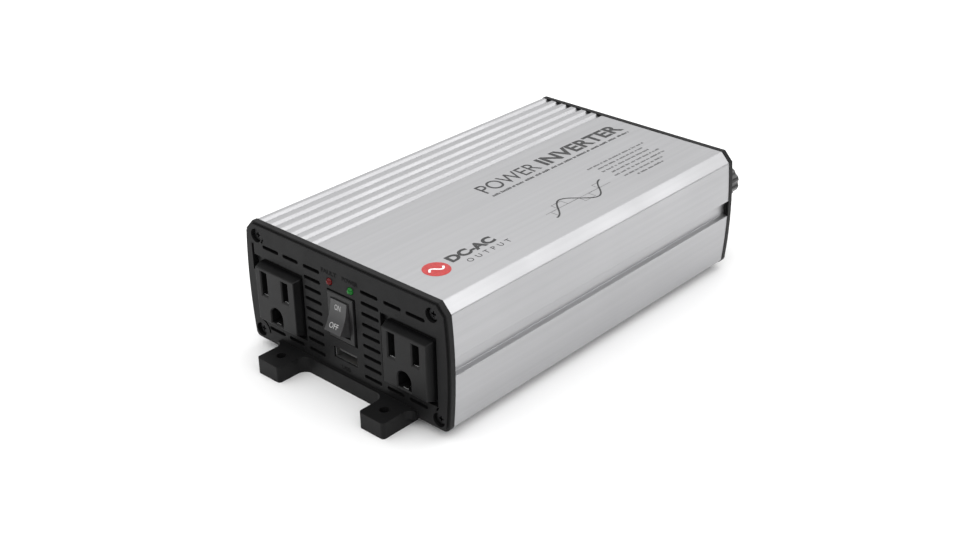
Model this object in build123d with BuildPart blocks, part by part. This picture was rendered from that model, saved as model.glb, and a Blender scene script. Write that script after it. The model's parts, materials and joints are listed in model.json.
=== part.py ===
from build123d import *
from math import cos, pi, radians, sin
import os

os.makedirs("parts", exist_ok=True)

# ------------------------------------------------------------------ driving dimensions (mm)
# Frame: +Z up, the outlet end faces -Y, the origin is on the ground, midway between the four foot holes.
LENGTH = 188.4                    # between the outer faces of the bands that join each pair of feet
FRONT = -LENGTH / 2
REAR = LENGTH / 2

# Outline of the body, right half, seen from the front
TOP = 57.6
BOTTOM = 3.3
FLAT_HALF = 51.6                  # half width of the flat top
SHOULDER_X = 55.7                 # lower end of the bevel between top and side
SHOULDER_Z = 53.2
BULGE_X = 56.9                    # the sides bow outwards to here
BULGE_Z = 30.2
HEEL_X = 55.6
HEEL_RADIUS = 3.0
BEND_SHARE = 0.41                 # how far a bevel corner moves along when the outline is inset
CORNER_EASE = 0.8

# Aluminium extrusion
WALL = 2.2
PLATE_THICK = 4.8
HOUSING_FRONT = FRONT + PLATE_THICK
HOUSING_REAR = REAR - PLATE_THICK
GROOVE_FIRST_X = -47.9
GROOVE_PITCH = 6.14
GROOVE_COUNT = 6
GROOVE_WIDTH = 3.3
GROOVE_DEPTH = 1.1
GROOVE_FLARE = 38.0               # degrees that each groove wall leans outwards
RIDGE_EASE = 0.5
FIN_PAD_THICK = 4.3
CHANNEL_LOW = 27.7
CHANNEL_HIGH = 35.2
CHANNEL_FLOOR_X = 54.7
CHANNEL_LEDGE_RISE = 0.7          # the channel's lower wall climbs this much from its lip to its floor
BACKING_X = 51.9                  # inner face of the wall behind the side channel
TOP_SCREW = (49.0, 52.1)
LOW_SCREW = (51.1, 7.95)
PORT_RADIUS = 3.9
PORT_BORE = 1.45
RAIL_X = 51.9
RAIL_THICK = 1.5

# End plates
PLATE_GROW = 0.2
PLATE_EASE = 0.3
RECESS = 1.4                      # from the band's face to the panel's face
RIM_STEP = 0.8                    # the panel's face stops this far inside the plate's edge
RIM_STEP_BACK = 0.8
PANEL_WALL = 2.0
HOLLOW_INSET = 2.5
PANEL_FACE = FRONT + RECESS
PANEL_BACK = PANEL_FACE + PANEL_WALL
REAR_FACE = REAR - RECESS
REAR_BACK = REAR_FACE - PANEL_WALL
BAND_TOP = 7.1
BOSS_RADIUS = 5.65                # plastic left behind each corner screw
COUNTERBORE_RADIUS = 3.0
SEAT_DEPTH = 3.9                  # from the lip to where a corner screw's head sits
SCREW_CLEARANCE = 1.7
RIB_HALF = 40.0
RIB_THICK = 1.6
RIB_DEPTH = 2.5
RIB_GAP = 0.1

# Feet
FOOT_X = 29.85
FOOT_WIDTH = 13.3
FOOT_REACH = 13.7
FOOT_HOLE_REACH = 6.3
FOOT_HOLE_RADIUS = 2.0
FOOT_CORNER = 1.5
INNER_ROOT = 4.0                  # radius where a foot meets the band between the feet
OUTER_ROOT = 3.0

# Vents in the front panel
VENT_TOP = 48.3
VENT_PITCH = 4.68
VENT_ROWS = 9
VENT_HEIGHT = 1.6
VENT_COLUMN = (11.4, 21.05)
VENT_ROW_EXTRAS = ((24.0, 33.2), (35.7, 45.5))

# Outlets
OUTLET_X = 36.45
OUTLET_SHIFT = 0.4                # the moulded block sits this far to the right of its slots
OUTLET_Z = 28.0
OUTLET_DRAFT = 14.5
OUTLET_PROUD = 3.1                # from the panel's face to the outlet's face
OUTLET_BASE = (24.6, 25.6)
OUTLET_OPENING = (29.1, 29.8)
OUTLET_OPENING_Z = 28.4
OUTLET_FLANGE_LAP = 0.7
OUTLET_FLANGE_THICK = 2.0
OUTLET_BODY = (26.0, 27.0)
OUTLET_BODY_BACK = FRONT + 16.0
OUTLET_CAP_THICK = 2.5
SLOT_SPACING = 12.7
SLOT_WIDTH = 3.5
NEUTRAL_SLOT = (27.9, 38.6)       # bottom and top of the taller slot
LINE_SLOT = (29.0, 38.2)
GROUND_LEVEL = (16.7, 24.3)
GROUND_WIDTH = 7.0
SLOT_LEAD_IN = 0.45
CONTACT_WALL = 3.0                # plastic left between a slot's mouth and its contact pocket

# Rocker switch
SWITCH_X = -0.1
SWITCH_Z = 32.45
SWITCH_OPENING = (15.9, 21.4)
SWITCH_OPENING_CENTRE = (0.35, 32.6)
SWITCH_BEZEL = (14.3, 20.3)
SWITCH_BEZEL_FRONT = FRONT + 0.9
SWITCH_WELL = (10.1, 16.0)
SWITCH_BODY = (13.2, 18.8)
SWITCH_BODY_BACK = FRONT + 17.0
ROCKER_TILT = 19.5
ROCKER_WIDTH = 9.0
ROCKER_PIVOT_Y = FRONT + 3.1
PIVOT_RADIUS = 1.4
PIVOT_HALF = 6.1
RUNNING_GAP = 0.05

# USB socket and indicators
USB_X = 0.77
USB_Z = 15.35
USB_SHELL = (13.2, 5.7)
USB_OPENING = (13.35, 5.0)
USB_SKIN = 0.7                    # panel left in front of the socket's shell
USB_FRONT = PANEL_FACE + USB_SKIN + 0.05
USB_DEPTH = 14.0
LED_X = 5.9
LED_Z = 46.4
LED_RADIUS = 1.55
LED_HOLE = 1.7

# Cooling fan
FAN_SIZE = 40.0
FAN_DEPTH = 15.0
FAN_Z = 33.0
FAN_BORE = 18.6
FAN_REAR = REAR_BACK
FAN_FRONT = FAN_REAR - FAN_DEPTH
FAN_HOLE_SPACING = 32.0
FAN_BLADES = 7

# Binding posts
POST_X = 41.3
POST_Z = 34.0
STUD_RADIUS = 3.0
POST_BASE_FRONT = REAR_FACE
POST_BASE_THICK = 3.0
POST_FLANGE_THICK = 1.4
POST_WASHER_THICK = 1.0
POST_GAP = 0.08
KNOB_RADIUS = 7.2
KNOB_LENGTH = 13.6

# Circuit board
BOARD_BOTTOM = 13.5
BOARD_THICK = 1.6
BOARD_TOP = BOARD_BOTTOM + BOARD_THICK
BOARD_HALF = 53.2
BOARD_FRONT = -68.0
BOARD_REAR = 72.0


# ------------------------------------------------------------------ helpers
def section(y):
    """A sketch plane across the body at y: its local axes are X and Z, and its normal is -Y."""
    return Plane.XZ.offset(-y)


def outline(inset=0.0, mode=Mode.ADD):
    """The body's cross section, moved inwards by inset."""
    with BuildLine() as loop:
        top = Line((0, TOP - inset), (FLAT_HALF - BEND_SHARE * inset, TOP - inset))
        bevel = Line(top @ 1, (SHOULDER_X - inset, SHOULDER_Z - BEND_SHARE * inset))
        heel_z = BOTTOM + HEEL_RADIUS
        ThreePointArc(bevel @ 1, (BULGE_X - inset, BULGE_Z), (HEEL_X - inset, heel_z))
        heel = CenterArc((HEEL_X - HEEL_RADIUS, heel_z), HEEL_RADIUS - inset, 0, -90)
        Line(heel @ 1, (0, BOTTOM + inset))
        mirror(about=Plane.YZ)
    make_face(loop.edges(), mode=mode)


def box_between(low, high, mode=Mode.ADD):
    """A block from its lowest to its highest corner."""
    middle = [(a + b) / 2 for a, b in zip(low, high)]
    size = [b - a for a, b in zip(low, high)]
    with Locations(tuple(middle)):
        Box(*size, mode=mode)


def four_screws():
    """Places of the corner screws on either end, as (x, z)."""
    return [(side * x, z) for side in (-1, 1) for x, z in (TOP_SCREW, LOW_SCREW)]


def write(piece, name):
    """Label a finished sub-part and write its STEP file."""
    piece.part.label = name
    export_step(piece.part, f"parts/{name}.step")


def end_plate(face_y, inward):
    """Everything that the two end plates share. inward is +1 at the front and -1 at the rear."""
    panel_y = face_y + inward * RECESS
    rim_y = panel_y + inward * RIM_STEP_BACK
    with BuildSketch(section(rim_y)) as blank:
        outline(-PLATE_GROW)
    extrude(blank.sketch, amount=-inward * (PLATE_THICK - RECESS - RIM_STEP_BACK))
    fillet(edges().group_by(Axis.Y)[0 if inward > 0 else -1], radius=PLATE_EASE)
    with BuildSketch(section(panel_y)) as raised_face:
        outline(RIM_STEP)
    extrude(raised_face.sketch, amount=-inward * PANEL_WALL)
    # Hollow behind the face
    with BuildSketch(section(panel_y + inward * PANEL_WALL)) as hollow:
        outline(HOLLOW_INSET)
        with Locations((0, BAND_TOP - FOOT_X)):
            Rectangle(4 * FOOT_X, 2 * FOOT_X, mode=Mode.SUBTRACT)
        with Locations(*four_screws()):
            Circle(BOSS_RADIUS, mode=Mode.SUBTRACT)
    extrude(hollow.sketch, amount=-inward * PLATE_THICK, mode=Mode.SUBTRACT)
    # Locating ribs that reach into the extrusion, under its top wall and over its floor
    joint_y = face_y + inward * PLATE_THICK
    rib_end = joint_y + inward * RIB_DEPTH
    rib_y = sorted((panel_y + inward * PANEL_WALL / 2, rib_end))
    ceiling = TOP - WALL - RIB_GAP
    box_between((0, rib_y[0], ceiling - RIB_THICK), (RIB_HALF, rib_y[1], ceiling))
    floor = BOTTOM + WALL + RIB_GAP
    box_between((-RIB_HALF, rib_y[0], floor), (RIB_HALF, rib_y[1], floor + RIB_THICK))
    # Two feet that reach back under the plate, and the deeper band between them
    foot_spots = [(side * FOOT_X, face_y - inward * (FOOT_REACH - PLATE_THICK) / 2) for side in (-1, 1)]
    with BuildSketch(Plane.XY) as feet:
        with Locations((0, face_y + inward * PLATE_THICK / 2)):
            Rectangle(2 * FOOT_X, PLATE_THICK)
        with Locations(*foot_spots):
            Rectangle(FOOT_WIDTH, FOOT_REACH + PLATE_THICK)
        on_face = vertices().filter_by(lambda v: abs(v.Y - face_y) < 0.1)
        fillet(on_face.filter_by(lambda v: abs(v.X) < FOOT_X), radius=INNER_ROOT)
        fillet(vertices().filter_by(lambda v: abs(abs(v.Y - face_y) - FOOT_REACH) < 0.1), radius=FOOT_CORNER)
    extrude(feet.sketch, amount=BAND_TOP)
    # Outer roots of the feet, where they meet the plate above its lower edge
    root_reach = FOOT_WIDTH / 2 + OUTER_ROOT + PLATE_GROW
    with BuildSketch(Plane.XY.offset(BOTTOM)) as outer_roots:
        with Locations((0, face_y + inward * PLATE_THICK / 2)):
            Rectangle(2 * (FOOT_X + root_reach), PLATE_THICK)
        with Locations(*foot_spots):
            with Locations((0, inward * FOOT_CORNER)):
                Rectangle(FOOT_WIDTH, FOOT_REACH + PLATE_THICK - 2 * FOOT_CORNER)
        on_face = vertices().filter_by(lambda v: abs(v.Y - face_y) < 0.1)
        fillet(on_face.filter_by(lambda v: FOOT_X < abs(v.X) < FOOT_X + root_reach - 1), radius=OUTER_ROOT)
    extrude(outer_roots.sketch, amount=BAND_TOP - BOTTOM)
    # Holes: feet, then corner screws with their counterbores
    with BuildSketch(Plane.XY) as foot_holes:
        with Locations(*[(side * FOOT_X, face_y - inward * FOOT_HOLE_REACH) for side in (-1, 1)]):
            Circle(FOOT_HOLE_RADIUS)
    extrude(foot_holes.sketch, amount=BAND_TOP, mode=Mode.SUBTRACT)
    with BuildSketch(section(face_y)) as shank_holes:
        with Locations(*four_screws()):
            Circle(SCREW_CLEARANCE)
    extrude(shank_holes.sketch, amount=-inward * PLATE_THICK, mode=Mode.SUBTRACT)
    with BuildSketch(section(face_y)) as counterbores:
        with Locations(*four_screws()):
            Circle(COUNTERBORE_RADIUS)
    extrude(counterbores.sketch, amount=-inward * SEAT_DEPTH, mode=Mode.SUBTRACT)


# ------------------------------------------------------------------ housing
pad_left = GROOVE_FIRST_X - GROOVE_PITCH / 2
pad_right = GROOVE_FIRST_X + (GROOVE_COUNT - 0.5) * GROOVE_PITCH
channel_z = (CHANNEL_LOW + CHANNEL_HIGH) / 2
channel_height = CHANNEL_HIGH - CHANNEL_LOW
with BuildPart() as extruded_housing:
    with BuildSketch(section(HOUSING_FRONT)):
        outline()
        fillet(vertices().filter_by(lambda v: v.Y > SHOULDER_Z - 1 and abs(v.X) > 1), radius=CORNER_EASE)
        # Channel along either side
        for side in (-1, 1):
            floor_x, lip_x, clear_x = side * CHANNEL_FLOOR_X, side * BULGE_X, side * (BULGE_X + WALL)
            with BuildLine():
                Polyline((floor_x, CHANNEL_LOW + CHANNEL_LEDGE_RISE), (lip_x, CHANNEL_LOW),
                         (clear_x, CHANNEL_LOW), (clear_x, CHANNEL_HIGH), (floor_x, CHANNEL_HIGH), close=True)
            make_face(mode=Mode.SUBTRACT)
        # Grooves along the top, on the left, with eased ridges between them
        for i in range(GROOVE_COUNT):
            with Locations((GROOVE_FIRST_X + i * GROOVE_PITCH, TOP - GROOVE_DEPTH / 2)):
                Trapezoid(GROOVE_WIDTH, GROOVE_DEPTH, 90 + GROOVE_FLARE, mode=Mode.SUBTRACT)
        ridge_corners = vertices().filter_by(lambda v: abs(v.Y - TOP) < 0.01 and pad_left < v.X < pad_right)
        fillet(ridge_corners, radius=RIDGE_EASE)
    extrude(amount=-(HOUSING_REAR - HOUSING_FRONT))
    # The hollow, less what stands in it: the thicker roof under the grooves, the walls behind the
    # side channels, the rails for the circuit board and the ports for the corner screws
    with BuildSketch(section(HOUSING_FRONT)):
        outline(WALL)
        with Locations(((pad_left + pad_right) / 2, TOP - FIN_PAD_THICK / 2)):
            Rectangle(pad_right - pad_left, FIN_PAD_THICK, mode=Mode.SUBTRACT)
        for side in (-1, 1):
            with Locations((side * (BACKING_X + WALL), channel_z)):
                Rectangle(2 * WALL, channel_height + 2 * WALL, mode=Mode.SUBTRACT)
            for rail_z in (BOARD_BOTTOM - RAIL_THICK / 2, BOARD_TOP + RAIL_THICK / 2 + RIB_GAP):
                with Locations((side * (RAIL_X + WALL), rail_z)):
                    Rectangle(2 * WALL, RAIL_THICK, mode=Mode.SUBTRACT)
        with Locations(*four_screws()):
            Circle(PORT_RADIUS, mode=Mode.SUBTRACT)
    extrude(amount=-(HOUSING_REAR - HOUSING_FRONT), mode=Mode.SUBTRACT)
    with BuildSketch(section(HOUSING_FRONT)):
        with Locations(*four_screws()):
            Circle(PORT_BORE)
    extrude(amount=-(HOUSING_REAR - HOUSING_FRONT), mode=Mode.SUBTRACT)
write(extruded_housing, "extruded_housing")

# ------------------------------------------------------------------ front panel
CURL_RADIUS = 5.1
CURL_WIDTH = 0.9
CURL_DEPTH = 1.0
RELIEF = ((-52.4, 36.0), (-51.0, 48.0))
TICK_SPOTS = ((-45.4, 50.6), (50.5, 12.4))
TICK = (0.8, 2.3)
TICK_LEAN = -27
with BuildPart() as front_panel:
    end_plate(FRONT, 1)
    with BuildSketch(section(FRONT)):
        for side in (-1, 1):
            for row in range(VENT_ROWS):
                z = VENT_TOP - row * VENT_PITCH
                spans = [VENT_COLUMN]
                if row in (0, VENT_ROWS - 1):
                    spans.extend(VENT_ROW_EXTRAS)
                for low, high in spans:
                    with Locations((side * (low + high) / 2, z)):
                        SlotOverall(high - low, VENT_HEIGHT)
            with Locations((side * OUTLET_X, OUTLET_OPENING_Z)):
                Rectangle(*OUTLET_OPENING)
            with Locations((side * LED_X, LED_Z)):
                Circle(LED_HOLE)
        # Relief slot beside the left outlet, and a short slanted slot beside two of the corner screws
        with Locations(RELIEF[0]):
            Rectangle(RELIEF[1][0] - RELIEF[0][0], RELIEF[1][1] - RELIEF[0][1], align=Align.MIN)
        with Locations(*TICK_SPOTS):
            Rectangle(*TICK, rotation=TICK_LEAN)
        with Locations(SWITCH_OPENING_CENTRE):
            Rectangle(*SWITCH_OPENING)
        with Locations((USB_X, USB_Z)):
            Rectangle(*USB_OPENING)
    extrude(amount=-PLATE_THICK, mode=Mode.SUBTRACT)
    with BuildSketch(section(PANEL_FACE + USB_SKIN)):
        with Locations((USB_X, USB_Z)):
            Rectangle(*[size + RIB_GAP for size in USB_SHELL])
    extrude(amount=-PANEL_WALL, mode=Mode.SUBTRACT)
    # Shallow moulding groove that curls round the lower left boss
    with BuildSketch(section(PANEL_FACE)):
        with Locations((-LOW_SCREW[0], LOW_SCREW[1])):
            Circle(CURL_RADIUS + CURL_WIDTH)
            Circle(CURL_RADIUS, mode=Mode.SUBTRACT)
        with Locations((-LOW_SCREW[0], LOW_SCREW[1])):
            Rectangle(2 * CURL_RADIUS, 2 * CURL_RADIUS, align=Align.MIN, mode=Mode.INTERSECT)
    extrude(amount=-CURL_DEPTH, mode=Mode.SUBTRACT)
write(front_panel, "front_panel")

# ------------------------------------------------------------------ rear panel with its moulded fan grille
GRILLE_RADII = (18.2, 15.2, 12.6, 9.6, 7.0, 4.0)      # open ring, bar, open ring, ...
GRILLE_SPOKE = 2.2
POST_HOLE = 4.1
with BuildPart() as rear_panel:
    end_plate(REAR, -1)
    with BuildSketch(section(REAR)):
        with Locations((0, FAN_Z)):
            for i, radius in enumerate(GRILLE_RADII):
                Circle(radius, mode=Mode.SUBTRACT if i % 2 else Mode.ADD)
            for angle in (45, 135):
                Rectangle(2 * FAN_BORE, GRILLE_SPOKE, rotation=angle, mode=Mode.SUBTRACT)
            with GridLocations(FAN_HOLE_SPACING, FAN_HOLE_SPACING, 2, 2):
                Circle(SCREW_CLEARANCE)
        with Locations((-POST_X, POST_Z), (POST_X, POST_Z)):
            Circle(POST_HOLE)
    extrude(amount=PLATE_THICK, mode=Mode.SUBTRACT)
write(rear_panel, "rear_panel")

# ------------------------------------------------------------------ corner screws
SCREW_HEAD_RADIUS = 2.75
SCREW_HEAD_HEIGHT = 1.3
SCREW_HEAD_EASE = 0.6
SCREW_LENGTH = 14.0
SCREW_SHANK = PORT_BORE - 0.02
CROSS_WIDTH = 0.7
CROSS_LENGTH = 2.4
CROSS_DEPTH = 0.8


def pan_head_screws(spots, seat_y, outward, shank, length):
    """Cross-head screws whose heads sit on seat_y and point along outward (-1 front, +1 rear)."""
    with BuildSketch(section(seat_y)) as heads:
        with Locations(*spots):
            Circle(SCREW_HEAD_RADIUS)
    extrude(heads.sketch, amount=-outward * SCREW_HEAD_HEIGHT)
    fillet(edges().group_by(Axis.Y)[0 if outward < 0 else -1], radius=SCREW_HEAD_EASE)
    with BuildSketch(section(seat_y + outward * SCREW_HEAD_HEIGHT)) as crosses:
        with Locations(*spots):
            Rectangle(CROSS_LENGTH, CROSS_WIDTH)
            Rectangle(CROSS_WIDTH, CROSS_LENGTH)
    extrude(crosses.sketch, amount=outward * CROSS_DEPTH, mode=Mode.SUBTRACT)
    with BuildSketch(section(seat_y)) as shanks:
        with Locations(*spots):
            Circle(shank)
    extrude(shanks.sketch, amount=outward * length)


with BuildPart() as front_screws:
    pan_head_screws(four_screws(), FRONT + SEAT_DEPTH, -1, SCREW_SHANK, SCREW_LENGTH)
write(front_screws, "front_screws")

with BuildPart() as rear_screws:
    pan_head_screws(four_screws(), REAR - SEAT_DEPTH, 1, SCREW_SHANK, SCREW_LENGTH)
write(rear_screws, "rear_screws")

# ------------------------------------------------------------------ outlets: block, back cap, contacts
CONTACT_THICK = 0.5
CONTACT_HEIGHT = 7.0
CONTACT_GAP = 1.4                 # between the two leaves, before a blade spreads them
CONTACT_END_GAP = 0.6
LIP_TAB = (2.8, 0.35)             # width and thickness of the tab along the floor of each slot
LIP_TAB_DEPTH = 0.9               # how far inside the outlet's face that tab starts
BLADE_POCKET = (5.6, 11.0)
GROUND_POCKET = (7.6, 8.0)
OUTLET_EDGE_EASE = 0.35
LEAD_IN_ANGLE = 44
TAIL_LENGTH = 5.0
TAIL_WIDTH = 4.8
TAIL_CLEARANCE = 0.1
flange_back = PANEL_BACK + OUTLET_FLANGE_THICK
outlet_face_y = PANEL_FACE - OUTLET_PROUD
pocket_front = outlet_face_y + CONTACT_WALL + OUTLET_PROUD
neutral_z = sum(NEUTRAL_SLOT) / 2
line_z = sum(LINE_SLOT) / 2
ground_z = sum(GROUND_LEVEL) / 2
tail_spots = ((-SLOT_SPACING / 2, neutral_z), (SLOT_SPACING / 2, line_z), (0, ground_z))
slot_floors = (NEUTRAL_SLOT[0], LINE_SLOT[0], GROUND_LEVEL[0])


def slot_mouths(centre_x, grow):
    """The three blade openings of one outlet, each edge moved out by grow."""
    for dx, (low, high) in ((-SLOT_SPACING / 2, NEUTRAL_SLOT), (SLOT_SPACING / 2, LINE_SLOT)):
        with Locations((centre_x + dx, (low + high) / 2)):
            Rectangle(SLOT_WIDTH + 2 * grow, high - low + 2 * grow)
    low, high = GROUND_LEVEL
    arch = high - GROUND_WIDTH / 2
    with Locations((centre_x, arch)):
        Circle(GROUND_WIDTH / 2 + grow)
    with Locations((centre_x, (low - grow + arch) / 2)):
        Rectangle(GROUND_WIDTH + 2 * grow, arch - low + grow)


for side, hand in ((-1, "left"), (1, "right")):
    slot_x = side * OUTLET_X
    block_x = slot_x + OUTLET_SHIFT
    with BuildPart() as outlet:
        with BuildSketch(section(PANEL_FACE)):
            with Locations((block_x, OUTLET_Z)):
                Rectangle(*OUTLET_BASE)
        extrude(amount=OUTLET_PROUD, taper=OUTLET_DRAFT)
        fillet(edges().filter_by(lambda e: e.center().Y < PANEL_FACE - 0.1), radius=OUTLET_EDGE_EASE)
        with BuildSketch(section(PANEL_FACE)):
            with Locations((block_x, OUTLET_Z)):
                Rectangle(*OUTLET_BASE)
        extrude(amount=-PANEL_WALL)
        with BuildSketch(section(PANEL_BACK)):
            with Locations((slot_x, OUTLET_OPENING_Z)):
                Rectangle(*[size + 2 * OUTLET_FLANGE_LAP for size in OUTLET_OPENING])
            with Locations(*four_screws()):
                Circle(BOSS_RADIUS + RIB_GAP, mode=Mode.SUBTRACT)
        extrude(amount=-OUTLET_FLANGE_THICK)
        with BuildSketch(section(flange_back)):
            with Locations((slot_x, OUTLET_Z)):
                Rectangle(*OUTLET_BODY)
        extrude(amount=-(OUTLET_BODY_BACK - flange_back))
        with BuildSketch(section(outlet_face_y)):
            slot_mouths(slot_x, 0)
        extrude(amount=-(OUTLET_BODY_BACK - outlet_face_y) / 2, mode=Mode.SUBTRACT)
        # Funnel-shaped lead-in round each opening
        with BuildSketch(section(outlet_face_y)):
            slot_mouths(slot_x, SLOT_LEAD_IN)
        extrude(amount=-SLOT_LEAD_IN, taper=LEAD_IN_ANGLE, mode=Mode.SUBTRACT)
        # Contact pockets, open at the back
        with BuildSketch(section(OUTLET_BODY_BACK)):
            for dx, z in tail_spots:
                with Locations((slot_x + dx, z)):
                    Rectangle(*(BLADE_POCKET if dx else GROUND_POCKET))
        extrude(amount=OUTLET_BODY_BACK - pocket_front, mode=Mode.SUBTRACT)
    write(outlet, f"outlet_{hand}")

    cap_back = OUTLET_BODY_BACK + OUTLET_CAP_THICK
    with BuildPart() as outlet_cap:
        with BuildSketch(section(OUTLET_BODY_BACK)):
            with Locations((slot_x, OUTLET_Z)):
                Rectangle(*OUTLET_BODY)
            for dx, z in tail_spots:
                with Locations((slot_x + dx, z)):
                    Rectangle(CONTACT_THICK + TAIL_CLEARANCE, TAIL_WIDTH + TAIL_CLEARANCE, mode=Mode.SUBTRACT)
        extrude(amount=-OUTLET_CAP_THICK)
    write(outlet_cap, f"outlet_{hand}_cap")

    leaf_front = pocket_front + CONTACT_END_GAP
    leaf_back = OUTLET_BODY_BACK - CONTACT_END_GAP
    with BuildPart() as contacts:
        for (dx, z), floor_z in zip(tail_spots, slot_floors):
            x = slot_x + dx
            gap = CONTACT_GAP if dx else 2 * CONTACT_GAP
            leaf_top = z + CONTACT_HEIGHT / 2
            for leaf in (-1, 1):
                near, far = sorted((x + leaf * gap / 2, x + leaf * (gap / 2 + CONTACT_THICK)))
                box_between((near, leaf_front, leaf_top - CONTACT_HEIGHT), (far, leaf_back, leaf_top))
            bridge = gap / 2 + CONTACT_THICK
            box_between((x - bridge, leaf_back - CONTACT_THICK, floor_z), (x + bridge, leaf_back, leaf_top))
            box_between((x - LIP_TAB[0] / 2, outlet_face_y + LIP_TAB_DEPTH, floor_z),
                        (x + LIP_TAB[0] / 2, leaf_back, floor_z + LIP_TAB[1]))
            box_between((x - CONTACT_THICK / 2, leaf_back, z - TAIL_WIDTH / 2),
                        (x + CONTACT_THICK / 2, cap_back + TAIL_LENGTH, z + TAIL_WIDTH / 2))
    write(contacts, f"outlet_{hand}_contacts")

# ------------------------------------------------------------------ rocker switch
ROCKER_TIP = (5.2, 6.4)           # out of the pivot, along the face
ROCKER_SAG = 0.9
ROCKER_SKIRT = ((0.0, 7.3), (-2.5, 7.45), (-5.0, 4.5))
WELL_DEPTH = 11.5
BEZEL_EASE = 0.4
SWITCH_FLANGE_LAP = 0.75
SWITCH_FLANGE_THICK = 1.5
TERMINAL = (4.8, 8.0, 0.8)
TERMINAL_RISES = (-6.5, 0.0, 6.5)
switch_centre = (SWITCH_X, SWITCH_Z)
flange_end = PANEL_BACK + SWITCH_FLANGE_THICK
tilt = radians(ROCKER_TILT)
rocker_plane = Plane(origin=(SWITCH_X - ROCKER_WIDTH / 2, ROCKER_PIVOT_Y, SWITCH_Z),
                     x_dir=(0, cos(tilt), -sin(tilt)), z_dir=(1, 0, 0))

with BuildPart() as switch_body:
    with BuildSketch(section(SWITCH_BEZEL_FRONT)):
        with Locations(switch_centre):
            Rectangle(*SWITCH_BEZEL)
    extrude(amount=-(PANEL_BACK - SWITCH_BEZEL_FRONT))
    fillet(edges().group_by(Axis.Y)[0], radius=BEZEL_EASE)
    with BuildSketch(section(PANEL_BACK)):
        with Locations(SWITCH_OPENING_CENTRE):
            Rectangle(*[size + 2 * SWITCH_FLANGE_LAP for size in SWITCH_OPENING])
    extrude(amount=-SWITCH_FLANGE_THICK)
    with BuildSketch(section(flange_end)):
        with Locations(switch_centre):
            Rectangle(*SWITCH_BODY)
    extrude(amount=-(SWITCH_BODY_BACK - flange_end))
    with BuildSketch(section(SWITCH_BEZEL_FRONT)):
        with Locations(switch_centre):
            Rectangle(*SWITCH_WELL)
    extrude(amount=-WELL_DEPTH, mode=Mode.SUBTRACT)
    with BuildSketch(Plane.YZ.offset(SWITCH_X)):
        with Locations((ROCKER_PIVOT_Y, SWITCH_Z)):
            Circle(PIVOT_RADIUS + RUNNING_GAP)
    extrude(amount=PIVOT_HALF + RUNNING_GAP, both=True, mode=Mode.SUBTRACT)
write(switch_body, "switch_body")

with BuildPart() as switch_rocker:
    with BuildSketch(rocker_plane):
        with BuildLine():
            out, along = ROCKER_TIP
            ThreePointArc((-out, along), (-out + ROCKER_SAG, 0), (-out, -along))
            lower = [(-depth, -height) for depth, height in ROCKER_SKIRT]
            upper = [(-depth, height) for depth, height in reversed(ROCKER_SKIRT)]
            Polyline((-out, -along), *lower, *upper, (-out, along))
        make_face()
    extrude(amount=ROCKER_WIDTH)
    with BuildSketch(Plane.YZ.offset(SWITCH_X)):
        with Locations((ROCKER_PIVOT_Y, SWITCH_Z)):
            Circle(PIVOT_RADIUS)
    extrude(amount=PIVOT_HALF, both=True)
write(switch_rocker, "switch_rocker")

with BuildPart() as switch_terminals:
    for rise in TERMINAL_RISES:
        with Locations((SWITCH_X, SWITCH_BODY_BACK + TERMINAL[1] / 2, SWITCH_Z + rise)):
            Box(*TERMINAL)
write(switch_terminals, "switch_terminals")

# ------------------------------------------------------------------ USB socket
SHELL_THICK = 0.35
SHELL_CORNER = 0.6
TONGUE = (11.2, 1.9)
TONGUE_RISE = 0.95
TONGUE_SET_BACK = 1.2
TONGUE_ROOT = 3.5
TONGUE_FIT = 0.04
USB_PIN_PITCH = 2.3
USB_PIN = (1.0, 0.2)
USB_BOARD = (18.0, 20.0, 1.4)
usb_inside = [size - 2 * SHELL_THICK for size in USB_SHELL]
with BuildPart() as usb_shell:
    with BuildSketch(section(USB_FRONT)):
        with Locations((USB_X, USB_Z)):
            RectangleRounded(*USB_SHELL, radius=SHELL_CORNER)
            RectangleRounded(*usb_inside, radius=SHELL_CORNER - SHELL_THICK, mode=Mode.SUBTRACT)
    extrude(amount=-USB_DEPTH)
write(usb_shell, "usb_shell")

usb_back = USB_FRONT + USB_DEPTH
tongue_z = USB_Z + TONGUE_RISE
tongue_floor = tongue_z - TONGUE[1] / 2
with BuildPart() as usb_tongue:
    with BuildSketch(section(usb_back)):
        with Locations((USB_X, USB_Z)):
            RectangleRounded(*[size - TONGUE_FIT for size in usb_inside], radius=SHELL_CORNER)
    extrude(amount=TONGUE_ROOT)
    box_between((USB_X - TONGUE[0] / 2, USB_FRONT + TONGUE_SET_BACK, tongue_floor),
                (USB_X + TONGUE[0] / 2, usb_back - TONGUE_ROOT, tongue_floor + TONGUE[1]))
write(usb_tongue, "usb_tongue")

with BuildPart() as usb_contacts:
    for i in range(4):
        x = USB_X + (i - 1.5) * USB_PIN_PITCH
        box_between((x - USB_PIN[0] / 2, USB_FRONT + 2 * TONGUE_SET_BACK, tongue_floor - USB_PIN[1]),
                    (x + USB_PIN[0] / 2, usb_back - TONGUE_ROOT, tongue_floor))
write(usb_contacts, "usb_contacts")

board_front = PANEL_BACK + 0.5
with BuildPart() as usb_board:
    usb_floor = USB_Z - USB_SHELL[1] / 2
    box_between((USB_X - USB_BOARD[0] / 2, board_front, usb_floor - USB_BOARD[2]),
                (USB_X + USB_BOARD[0] / 2, board_front + USB_BOARD[1], usb_floor))
write(usb_board, "usb_board")

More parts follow.
